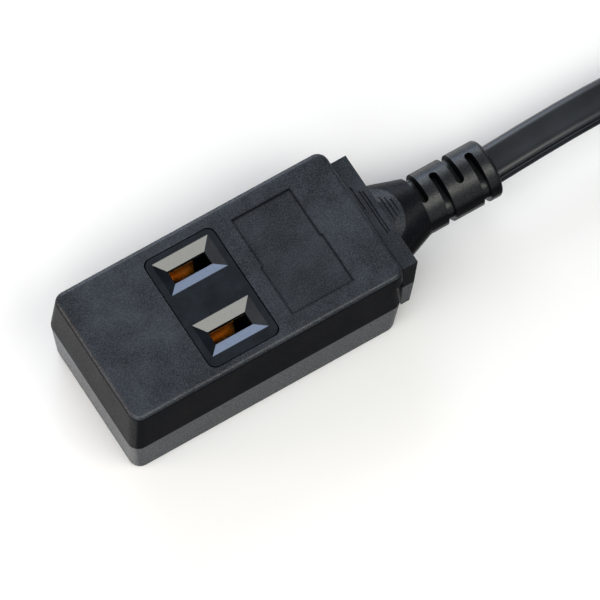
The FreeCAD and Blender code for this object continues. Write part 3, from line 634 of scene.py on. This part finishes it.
# Moulded vinyl: gloss, which is the coat's weight, and its factors in the border and by the grain
GLOSS_TOP = 0.66
GLOSS_NECK = 0.38
GLOSS_RELIEF = 1.0
GLOSS_WALLS = 0.03
GLOSS_UPPER_ENDS = 0.30
GLOSS_LOWER_SIDES = 0.52
GLOSS_LOWER_ENDS = 1.0
BORDER_GLOSS_FACTOR = 0.55
SPECKLE_GLOSS_FACTORS = (0.6, 1.45)


def moulded_vinyl(name, mould_line, neck_starts=NOWHERE, relief_starts=NOWHERE, panel_level=NOWHERE):
    """Black vinyl: dusty, textured skin, polished neck and relief, upper walls made near black by painted
    shade, and painted shade along the panel's border.
    """
    look = Look(name, IOR=1.5, Specular_IOR_Level=0.01, Coat_Roughness=0.36, Coat_IOR=1.5)
    grain = look.effect(GRAIN, Grain_per_mm=4.6, Patches_per_mm=0.13, Grain_height=0.02, Wave_height=0.04)
    marks = look.effect(MARKS, Marks_per_mm=0.7, Amount=0.5)
    halves = look.effect(HALVES, Level_mm=mould_line)
    facing = look.effect(FACING)
    finish = look.effect(
        FINISH, Neck_starts_mm=neck_starts, Relief_starts_mm=relief_starts, Panel_level_mm=panel_level,
    )
    speckle = steps(look.tree, grain["Grain"], *SPECKLE)
    upper_wall = look.times(facing["Walls"], difference(look.tree, 1.0, halves["Below"]))
    lower_wall = look.times(facing["Walls"], halves["Below"])

    clouds = look.times(grain["Patches"], look.range(facing["Walls"], CLOUDS_TOP, CLOUDS_WALLS))
    light = look.sum(clouds, look.times(speckle, SPECKLE_LIGHT), LEAST_LIGHT)
    skin = look.blend(light, SKIN_DARK, SKIN_LIGHT)
    skin = look.blend(look.times(marks["Specks"], SPECK_SHARE), skin, SPECK_GREY)
    polished = look.blend(finish["Relief"], POLISHED_NECK, POLISHED_RELIEF)
    colour = look.blend(finish["Textured"], polished, skin)
    # Painted shade: the upper walls are blended nearly to black, darker than the top of the same skin
    colour = look.blend(look.times(upper_wall, UPPER_WALL_PAINTED_SHADE), colour, NEAR_BLACK)
    seam = look.times(halves["Line"], SEAM_SHADE)
    # Painted shade along the panel's border, darkening the corner of the recess
    border = look.times(finish["Panel rim painted shade"], BORDER_SHADE)
    look.drive("Base Color", look.blend(maths(look.tree, "MAXIMUM", seam, border), colour, NEAR_BLACK))

    rubbed = look.times(marks["Marks"], SKIN_RUBBED_ROUGHNESS)
    look.drive("Roughness", look.sum(look.range(grain["Patches"], *SKIN_ROUGHNESS), rubbed))

    gloss = look.range(finish["Neck"], GLOSS_TOP, GLOSS_NECK)
    gloss = look.range(finish["Relief"], gloss, GLOSS_RELIEF)
    gloss = look.range(facing["Walls"], gloss, GLOSS_WALLS)
    gloss = look.range(look.times(upper_wall, facing["Ends"]), gloss, GLOSS_UPPER_ENDS)
    lower_gloss = look.range(facing["Ends"], GLOSS_LOWER_SIDES, GLOSS_LOWER_ENDS)
    gloss = look.range(lower_wall, gloss, lower_gloss)
    gloss = look.times(gloss, look.range(finish["Panel rim painted shade"], 1.0, BORDER_GLOSS_FACTOR))
    look.drive("Coat Weight", look.times(gloss, look.range(speckle, *SPECKLE_GLOSS_FACTORS)))

    groove = look.times(halves["Line"], SEAM_HEIGHT)
    pad_edge = look.times(finish["Pad edge"], PAD_EDGE_HEIGHT)
    look.bump(look.sum(grain["Height"], groove, pad_edge))
    return look.material


# Slot insert: colours, roughness, and how much its mouths take off that and rubbed marks add
INSERT_DARK = (0.003, 0.005, 0.008)
INSERT_LIGHT = (0.008, 0.012, 0.018)
INSERT_ROUGHNESS = (0.4, 0.5)
INSERT_MOUTH_ROUGHNESS = -0.2
INSERT_RUBBED_ROUGHNESS = 0.1


def slot_plastic(name):
    """Harder moulding of the slotted face, polished in the funnels and slots below the face."""
    look = Look(name, IOR=1.5, Specular_IOR_Level=0.22, Coat_Roughness=0.06, Coat_IOR=1.6)
    grain = look.effect(GRAIN, Grain_per_mm=3.0, Patches_per_mm=0.3, Grain_height=0.02, Wave_height=0.03)
    marks = look.effect(MARKS, Marks_per_mm=0.8, Amount=0.4)
    mouth = look.effect(HALVES, Level_mm=SLOT_FACE, Blend_mm=0.05)
    look.drive("Base Color", look.blend(grain["Patches"], INSERT_DARK, INSERT_LIGHT))
    rough = look.range(grain["Patches"], *INSERT_ROUGHNESS)
    polish = look.times(mouth["Below"], INSERT_MOUTH_ROUGHNESS)
    rubbed = look.times(marks["Marks"], INSERT_RUBBED_ROUGHNESS)
    look.drive("Roughness", look.sum(rough, polish, rubbed))
    look.drive("Coat Weight", mouth["Below"])
    look.bump(grain["Height"])
    return look.material


# Hard plastic of the closing plate and the plug's bridge: colours and roughness
STIFF_DARK = (0.006, 0.006, 0.008)
STIFF_LIGHT = (0.012, 0.012, 0.014)
STIFF_ROUGHNESS = (0.45, 0.6)


def carrier_plastic(name):
    """Plain hard black plastic of the pieces that carry the metal."""
    look = Look(name, IOR=1.5, Specular_IOR_Level=0.4)
    grain = look.effect(GRAIN, Grain_per_mm=2.0, Patches_per_mm=0.4, Grain_height=0.01)
    look.drive("Base Color", look.blend(grain["Patches"], STIFF_DARK, STIFF_LIGHT))
    look.drive("Roughness", look.range(grain["Grain"], *STIFF_ROUGHNESS))
    look.bump(grain["Height"])
    return look.material


# Metals: painted shade on the brass from the lips up, how strongly brass dulls in patches and lines, and
# the strands' look
BRASS_PAINTED_SHADE = (0.16, 0.06, 0.01)
DULL_PATCHES = 0.6
DULL_LINES = 0.3
COPPER_DARK = (0.55, 0.22, 0.11)
COPPER_BRIGHT = (0.9, 0.48, 0.3)
COPPER_ROUGHNESS = (0.22, 0.4)


def brass(name, bright, dull, roughness, lips=NOWHERE):
    """Rolled brass strip, duller in patches and along its lines, and painted dark from its lips up as
    shade under the slot's walls.
    """
    look = Look(name, Metallic=1.0)
    rolled = look.effect(ROLLED, Lines_per_mm=5.0, Line_height=0.004)
    colour = look.blend(look.times(rolled["Tarnish"], DULL_PATCHES), bright, dull)
    colour = look.blend(look.times(rolled["Lines"], DULL_LINES), colour, dull)
    # Painted shade: the brass darkens from the lips up towards the slot's face, under the plastic walls
    under_lips = look.effect(HALVES, Level_mm=lips, Blend_mm=2.4)["Below"]
    look.drive("Base Color", look.blend(under_lips, BRASS_PAINTED_SHADE, colour))
    look.drive("Roughness", look.range(rolled["Tarnish"], *roughness))
    look.bump(rolled["Height"])
    return look.material


def copper_strands(name):
    """Fine bare copper wires, twisted."""
    look = Look(name, Metallic=1.0)
    rolled = look.effect(ROLLED, Lines_per_mm=9.0, Line_height=0.02)
    look.drive("Base Color", look.blend(rolled["Lines"], COPPER_DARK, COPPER_BRIGHT))
    look.drive("Roughness", look.range(rolled["Tarnish"], *COPPER_ROUGHNESS))
    look.bump(rolled["Height"])
    return look.material


# Sheaths: how much rubbed marks add to their roughness
SHEATH_RUBBED_ROUGHNESS = 0.15


def extruded_vinyl(name, dark, light, roughness, gloss):
    """Cord and wire sheath: smooth skin with slow ripples from the extruder, duller on its flanks."""
    look = Look(name, IOR=1.5, Specular_IOR_Level=0.03, Coat_Roughness=0.34, Coat_IOR=1.5)
    grain = look.effect(GRAIN, Grain_per_mm=1.6, Patches_per_mm=0.16, Grain_height=0.008, Wave_height=0.02)
    marks = look.effect(MARKS, Marks_per_mm=0.9, Amount=0.5)
    look.drive("Base Color", look.blend(grain["Patches"], dark, light))
    rubbed = look.times(marks["Marks"], SHEATH_RUBBED_ROUGHNESS)
    look.drive("Roughness", look.sum(look.range(grain["Patches"], *roughness), rubbed))
    look.drive("Coat Weight", look.range(look.effect(FACING)["Walls"], gloss, 0.0))
    look.bump(grain["Height"])
    return look.material


LOOKS = {
    "socket_body": moulded_vinyl(
        "black_moulded_vinyl", MOULD_LINE, NECK_START, RELIEF_START, PANEL_LEVEL,
    ),
    "socket_insert": slot_plastic("slot_plastic"),
    "carrier_plastic": carrier_plastic("carrier_plastic"),
    "contact_brass": brass(
        "contact_brass", bright=(1.0, 0.76, 0.24), dull=(1.0, 0.5, 0.08),
        roughness=(0.3, 0.5), lips=CONTACT_LIPS,
    ),
    "wire_sleeve": extruded_vinyl(
        "wire_sleeve", dark=(0.01, 0.01, 0.011), light=(0.018, 0.018, 0.02),
        roughness=(0.35, 0.45), gloss=0.1,
    ),
    "copper_strands": copper_strands("copper_strands"),
    "cord_sheath": extruded_vinyl(
        "cord_sheath", dark=(0.006, 0.008, 0.011), light=(0.013, 0.016, 0.021),
        roughness=(0.34, 0.42), gloss=1.0,
    ),
    "plug_body": moulded_vinyl("plug_moulded_vinyl", PLUG_MOULD_LINE),
    "plug_core": carrier_plastic("plug_core_plastic"),
    "blade_brass": brass(
        "blade_brass", bright=(0.88, 0.72, 0.36), dull=(0.62, 0.46, 0.2), roughness=(0.18, 0.34),
    ),
}
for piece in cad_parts.values():
    slot_name = piece.data.materials[0].name
    piece.data.materials[0] = LOOKS[slot_name]
twin_cord.data.materials.append(LOOKS["cord_sheath"])

# Studio: a white paper floor, and pale grey all round but for a dark side on the right
FLOOR_SIZE = 6.0
PAPER = (0.94, 0.94, 0.94, 1.0)
WHITE = (1.0, 1.0, 1.0, 1.0)
DARK_SIDE = (0.93, -0.10, 0.35)
DARK_SIDE_EDGE = (0.95, 0.60)
PALE_STRENGTH = 0.34
DARK_STRENGTH = 0.02

# Lamps: direction and distance from the point looked at, size, power and colour, in metres and watts
SOFT_BOXES = {
    "front_box": ((0.22, -0.53, 0.82), 0.42, (0.26, 0.20), 0.70, (1.0, 0.99, 0.92)),
    "back_box": ((0.22, 0.81, 0.54), 0.50, (0.30, 0.26), 0.80, (0.86, 0.93, 1.0)),
    "back_card": ((0.22, 0.94, 0.26), 0.45, (0.24, 0.10), 0.24, (0.48, 0.64, 1.0)),
    "left_box": ((-0.62, -0.30, 0.72), 0.55, (0.46, 0.46), 2.00, (1.0, 1.0, 0.99)),
    "left_card": ((-0.92, 0.36, 0.18), 0.40, (0.12, 0.30), 0.50, (1.0, 0.80, 0.64)),
}


def make_floor():
    """A large square of paper that the part lies on."""
    half = FLOOR_SIZE / 2
    corners = [(-half, -half, 0), (half, -half, 0), (half, half, 0), (-half, half, 0)]
    mesh = bpy.data.meshes.new("studio_floor")
    mesh.from_pydata(corners, [], [(0, 1, 2, 3)])
    floor = bpy.data.objects.new("studio_floor", mesh)
    bpy.context.scene.collection.objects.link(floor)
    material = bpy.data.materials.new("white_paper")
    material.use_nodes = True
    tree = material.node_tree
    tree.nodes.clear()
    paper = add(tree, "ShaderNodeBsdfDiffuse", {"Color": PAPER})
    add(tree, "ShaderNodeOutputMaterial", {"Surface": paper.outputs[0]})
    mesh.materials.append(material)


def make_world():
    """Even pale grey all round, and dark on the right."""
    world = bpy.data.worlds.new("studio_world")
    world.use_nodes = True
    tree = world.node_tree
    tree.nodes.clear()
    view = add(tree, "ShaderNodeTexCoord").outputs["Generated"]
    towards = add(tree, "ShaderNodeVectorMath", {0: view, 1: DARK_SIDE}, operation="DOT_PRODUCT")
    open_side = steps(tree, towards.outputs["Value"], *DARK_SIDE_EDGE)
    strength = maths(tree, "ADD", product(tree, open_side, PALE_STRENGTH), DARK_STRENGTH)
    light = add(tree, "ShaderNodeBackground", {"Color": WHITE, "Strength": strength})
    add(tree, "ShaderNodeOutputWorld", {"Surface": light.outputs[0]})
    bpy.context.scene.world = world


def make_soft_box(name, direction, distance, size, power, colour):
    """A flat lamp that faces the point the camera looks at."""
    data = bpy.data.lights.new(name, "AREA")
    data.shape = "RECTANGLE"
    data.size, data.size_y = size
    data.energy = power
    data.color = colour
    lamp = bpy.data.objects.new(name, data)
    aim = Vector(direction).normalized()
    lamp.location = LOOK_AT + aim * distance
    lamp.rotation_euler = aim.to_track_quat("Z", "Y").to_euler()
    bpy.context.scene.collection.objects.link(lamp)


make_floor()
make_world()
for box_name, box_values in SOFT_BOXES.items():
    make_soft_box(box_name, *box_values)
bpy.context.scene.view_settings.view_transform = "Standard"
